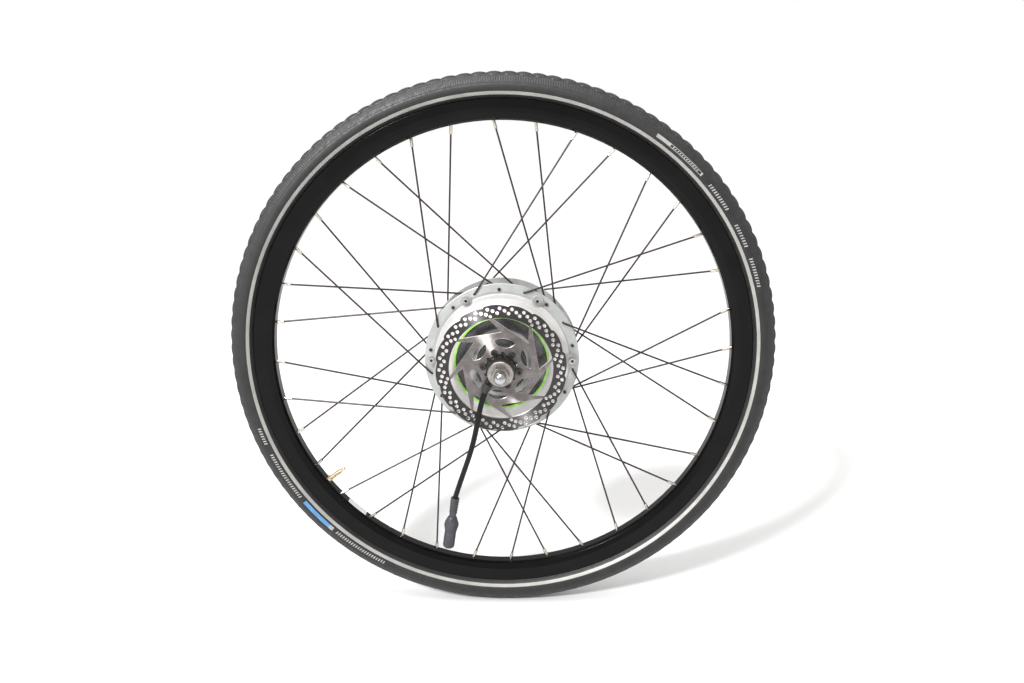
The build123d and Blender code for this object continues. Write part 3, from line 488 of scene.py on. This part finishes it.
# The grip bulges towards its far end, then draws in a little. Its ribs fade at both ends.
collar_profile = [(28.4, 4.2), (28.5, 4.8), (29.4, 5.6)]
GRIP_STEPS = 14
for step in range(GRIP_STEPS + 1):
    share = step / GRIP_STEPS
    bulge = 3.5 * sin(pi * min(1.0, share * 1.22) / 2) ** 1.3
    draw_in = 1.1 * max(0.0, share - 0.66) * 3
    collar_profile.append((30.0 + 16.5 * share, 6.0 + bulge - draw_in, sin(pi * share) ** 0.5))
collar_profile += [(47.4, 8.5), (48.6, 8.2), (49.4, 7.9), (49.5, 7.3)]
grip = lathe("connector_grip", collar_profile, plug_start, plug_axis, charcoal, "axle",
             steps=144, ribs=18, rib_mm=0.42, smooth_angle=60)
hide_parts("connector_collar")
SLEEVE_RINGS = 5
for ring in range(SLEEVE_RINGS):
    at = 5.2 + ring * 4.0
    narrowing = ring * 0.11
    lathe(
        f"sleeve_ring_{ring + 1}",
        [(at, 4.6), (at + 0.2, 5.55 - narrowing), (at + 0.7, 5.75 - narrowing),
         (at + 1.2, 5.55 - narrowing), (at + 1.4, 4.6)],
        plug_start, plug_axis, charcoal, "axle", steps=48)

# ------------------------------------------------------------------ tyre

# Lengths in mm. The section is a round crown that runs on into a tighter curve at each wall, and s
# is the distance from the crown's middle along it.
CROWN_CENTRE = 329.5
CROWN_R = 18.5
WALL_R = 12.8
WALL_CENTRE_Y = 5.7
CROWN_LENGTH = CROWN_R * pi / 2
LUGS = 120
STEPS_PER_LUG = 24
RIBS_PER_LUG = 6
BEAD_LIP = (316.2, 9.7)
BEAD_FOOT = (313.6, 9.6)
MOULDED_LINES = (30.5, 32.5)
MOULDED_LINE_PITCH = 1.9
MOULDED_LINE_DEPTH = 0.10
PRINT_LIFT = 0.12
PRINT_EDGE_DROP = 0.08
BAR_WIDTH = 0.28
BAR_PITCH = 0.62
BAR_SLANT = 0.16


def casing(s):
    """The casing at a distance from the crown along its section: radius, y and normal."""
    if s <= CROWN_LENGTH:
        lean = s / CROWN_R
        out = (cos(lean), sin(lean))
        return CROWN_CENTRE + CROWN_R * out[0], CROWN_R * out[1], out
    lean = (s - CROWN_LENGTH) / WALL_R
    out = (-sin(lean), cos(lean))
    return CROWN_CENTRE + WALL_R * out[0], WALL_CENTRE_Y + WALL_R * out[1], out


def inside(distance, half_width, soft):
    """1 inside a band and 0 outside it, with soft edges. Works on arrays."""
    return np.clip((half_width + soft - np.abs(distance)) / (2 * soft), 0.0, 1.0) ** 1.5


def tread_depth(s, phase):
    """How far the tread lies below the casing's outline, in mm, at a phase of the lug pattern."""
    # A wavy groove beside the crown, then notches between the lugs.
    depth = 1.8 * inside(s - (2.2 + 0.4 * np.sin(tau * phase)), 0.4, 0.5)
    between_lugs = (1.0 - np.abs(np.sin(pi * (phase - 0.012 * s)))) ** 1.25
    depth = np.maximum(depth, 1.7 * between_lugs * inside(s, 10.6, 1.2))
    # A staggered groove at the shoulder, fine ribs below it and a line under them.
    ramp = (phase + 0.25) % 1.0
    stagger = 12.2 + 1.9 * np.minimum(ramp, (1.0 - ramp) * 5.0)
    depth = np.maximum(depth, 1.6 * inside(s - stagger, 0.5, 0.5))
    ribs = 0.5 + 0.5 * np.cos(tau * RIBS_PER_LUG * phase)
    depth = np.maximum(depth, 0.36 * ribs * inside(s - 19.4, 3.2, 1.0))
    return np.maximum(depth, 0.5 * inside(s - 24.4, 0.4, 0.5))


def build_tyre():
    """The whole casing as one grid: round the wheel and across the section."""
    around = LUGS * STEPS_PER_LUG
    angles = np.arange(around) * tau / around
    phase = (angles * LUGS / tau) % 1.0
    half = [0.55 * i for i in range(1, 47)] + [26.5 + 1.25 * i for i in range(14)]
    rows = []
    for s in [-s for s in reversed(half)] + [0.0] + half:
        side = -1.0 if s < 0 else 1.0
        radius, y, out = casing(abs(s))
        depth = tread_depth(abs(s), phase)
        if abs(s) > MOULDED_LINES[0]:
            lines = max(0.0, cos((abs(s) - MOULDED_LINES[0]) * tau / MOULDED_LINE_PITCH))
            depth = np.full_like(phase, MOULDED_LINE_DEPTH * lines * (abs(s) < MOULDED_LINES[1]))
        rows.append((radius - depth * out[0], side * (y - depth * out[1])))

    def bead(row, side):
        return np.full(around, row[0]), np.full(around, side * row[1])

    # Known fault: the drive side's lip comes two rows early, so the casing doubles back there.
    rows = [bead(BEAD_FOOT, -1.0), bead(BEAD_LIP, -1.0), *rows[:-2], bead(BEAD_LIP, 1.0),
            *rows[-2:], bead(BEAD_FOOT, 1.0)]
    points = np.zeros((around, len(rows), 3))
    for j, (radius, y) in enumerate(rows):
        points[:, j, 0] = radius * np.cos(angles) * MM
        points[:, j, 1] = y * MM
        points[:, j, 2] = radius * np.sin(angles) * MM
    faces = grid_faces(around, len(rows), wrap_rows=True)
    piece = mesh_piece("tyre_casing", points.reshape(-1, 3), faces, rubber, "wheel")
    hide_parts("tyre")


def on_wall(s, angle, side, lift):
    """A point on the sidewall at a distance from the crown, lifted off it."""
    radius, y, out = casing(s)
    return polar(radius + lift * out[0], angle, side * (y + lift * out[1]))


def wall_patch(name, look, patches, side=-1.0):
    """Thin printed patches on a sidewall: each is (first angle, last angle, from s, to s, slant).

    Their borders sink towards the rubber.
    """
    points, faces = [], []
    for first, last, s_from, s_to, slant in patches:
        columns = max(2, int((last - first) / 0.8) + 2)
        rows = max(3, int((s_to - s_from) / 1.2) + 2)
        base = len(points)
        for i in range(rows):
            share = i / (rows - 1)
            s = s_from + (s_to - s_from) * share
            for j in range(columns):
                angle = first + (last - first) * j / (columns - 1) + slant * share
                border = i in (0, rows - 1) or j in (0, columns - 1)
                drop = PRINT_EDGE_DROP if border else 0.0
                points.append(on_wall(s, angle, side, PRINT_LIFT - drop))
        faces += [tuple(base + v for v in face) for face in grid_faces(rows, columns)]
    mesh_piece(name, points, faces, look, "wheel")


def hatch(first, last, s_from=26.4, s_to=30.6):
    """A run of plain slanted bars, from one angle to another in degrees."""
    bars, at = [], first
    while at + BAR_WIDTH <= last:
        bars.append((at, at + BAR_WIDTH, s_from, s_to, BAR_SLANT))
        at += BAR_PITCH
    return bars


build_tyre()
wall_patch("sidewall_bars", printed,
           hatch(197.0, 201.6) + hatch(203.7, 216.0) + hatch(227.6, 241.0)
           + hatch(16.2, 23.0) + hatch(25.4, 31.2) + hatch(34.4, 41.0)
           + [(43.6, 56.2, 25.9, 26.5, 0), (43.6, 56.2, 29.6, 30.2, 0),
              (43.6, 44.0, 26.4, 29.7, 0), (52.6, 56.2, 26.4, 29.7, 0)]
           + hatch(44.8, 52.2, 27.0, 29.1))
wall_patch("sidewall_blue_bar", printed_blue,
           [(217.3, 225.4, 25.8, 31.2, 0)])
wall_patch("sidewall_blue_bar_end", printed,
           [(225.4, 226.6, 25.8, 31.2, 0)])
wall_patch("sidewall_bars_drive", printed,
           hatch(316.0, 330.0) + hatch(146.0, 160.0) + hatch(166.0, 172.0), side=1.0)
wall_patch("sidewall_blue_bar_drive", printed_blue,
           [(333.0, 341.0, 25.8, 31.2, 0)], side=1.0)

# ------------------------------------------------------------------ rim label

LABEL_R = 291.36
LABEL_START = 224.7
LABEL_ANGLE = 5.9
LABEL_WIDTH = 10.4
label_points = [polar(LABEL_R, LABEL_START + LABEL_ANGLE * i / 8,
                      -LABEL_WIDTH / 2 + LABEL_WIDTH * j / 4)
                for i in range(9) for j in range(5)]
mesh_piece("rim_label", label_points, grid_faces(9, 5), label_white, "wheel")

# ------------------------------------------------------------------ valve and threads

VALVE_ANGLE = 217.0
inward = -polar(1.0, VALVE_ANGLE).normalized()
valve_foot = polar(316.5, VALVE_ANGLE)
valve_profile = [(0.0, 0.0), (0.0, 3.0), (25.2, 3.0)]
valve_profile += [(25.3 + a, r) for a, r in threads(0.0, 20.5, 3.0, 2.62, 0.8)[1:-1]]
valve_profile += [(45.9, 2.5), (46.0, 1.7), (49.7, 1.7), (49.8, 2.3), (50.1, 2.4), (51.9, 2.4),
                  (52.2, 2.2), (52.3, 1.5), (52.8, 1.5), (53.0, 1.1), (53.0, 0.0)]
valve = lathe("valve_threaded", valve_profile, valve_foot, inward, brass, "wheel",
              steps=48)
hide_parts("valve_stem")

lathe("freewheel_thread_ridges", threads(31.2, 42.2, 17.62, 17.2, 1.058), (0, 0, 0), (0, 1, 0),
      cast_flange, "wheel", steps=96)
lathe("axle_thread_ridges", threads(56.8, 64.0, 6.12, 5.8, 1.0), (0, 0, 0), (0, 1, 0),
      steel_plain, "axle", steps=64)

# ------------------------------------------------------------------ floor and light

FLOOR_Z = -0.348
FLOOR_REACH = 14.0
paper, tree, shader = start("studio_paper", (0.9, 0.9, 0.9), 0.75)
tree.links.new(blend_colours(tree, shift(tree, mottle(tree, 220.0, 2.0), 0.0, 1.0),
                             (0.88, 0.88, 0.88), (0.91, 0.91, 0.91)), shader.inputs["Base Color"])
floor_mesh = bpy.data.meshes.new("floor")
floor_mesh.from_pydata([(x * FLOOR_REACH, y * FLOOR_REACH, FLOOR_Z)
                        for x, y in ((-1, -1), (1, -1), (1, 1), (-1, 1))], [], [(0, 1, 2, 3)])
floor_mesh.materials.append(paper)
floor = bpy.data.objects.new("floor", floor_mesh)
bpy.context.scene.collection.objects.link(floor)


def softbox(name, at, size, watts):
    """A square area light that faces the wheel's centre."""
    light = bpy.data.lights.new(name, "AREA")
    light.size = size
    light.energy = watts
    lamp = bpy.data.objects.new(name, light)
    lamp.location = at
    lamp.rotation_mode = "QUATERNION"
    lamp.rotation_quaternion = (-Vector(at)).to_track_quat("-Z", "Y")
    bpy.context.scene.collection.objects.link(lamp)
    return lamp


sun = bpy.data.lights.new("key", "SUN")
sun.energy = 2.9
sun.angle = radians(7.0)
sun_lamp = bpy.data.objects.new("key", sun)
sun_lamp.rotation_mode = "QUATERNION"
sun_lamp.rotation_quaternion = Vector((0.46, 0.65, -0.61)).to_track_quat("-Z", "Y")
bpy.context.scene.collection.objects.link(sun_lamp)
softbox("top", (-0.1, -0.35, 1.75), 1.3, 17.0)
# The glint only shows in reflections, as the bright streak across the brake disc.
glint = softbox("glint", (-1.15, -1.62, 1.52), 0.28, 80.0)
glint.visible_diffuse = False

world = bpy.data.worlds.new("studio")
world.use_nodes = True
bpy.context.scene.world = world
sky = world.node_tree
# The camera sees plain white behind the wheel. Everything else is lit by the warmer surround.
surround = sky.nodes["Background"]
surround.inputs["Color"].default_value = (1.0, 0.99, 0.98, 1.0)
surround.inputs["Strength"].default_value = 0.72
seen = add(sky, "ShaderNodeBackground", Color=(1.0, 1.0, 1.0, 1.0), Strength=1.0)
choose = add(sky, "ShaderNodeMixShader")
sky.links.new(add(sky, "ShaderNodeLightPath").outputs["Is Camera Ray"], choose.inputs[0])
sky.links.new(surround.outputs[0], choose.inputs[1])
sky.links.new(seen.outputs[0], choose.inputs[2])
sky.links.new(choose.outputs[0], sky.nodes["World Output"].inputs["Surface"])
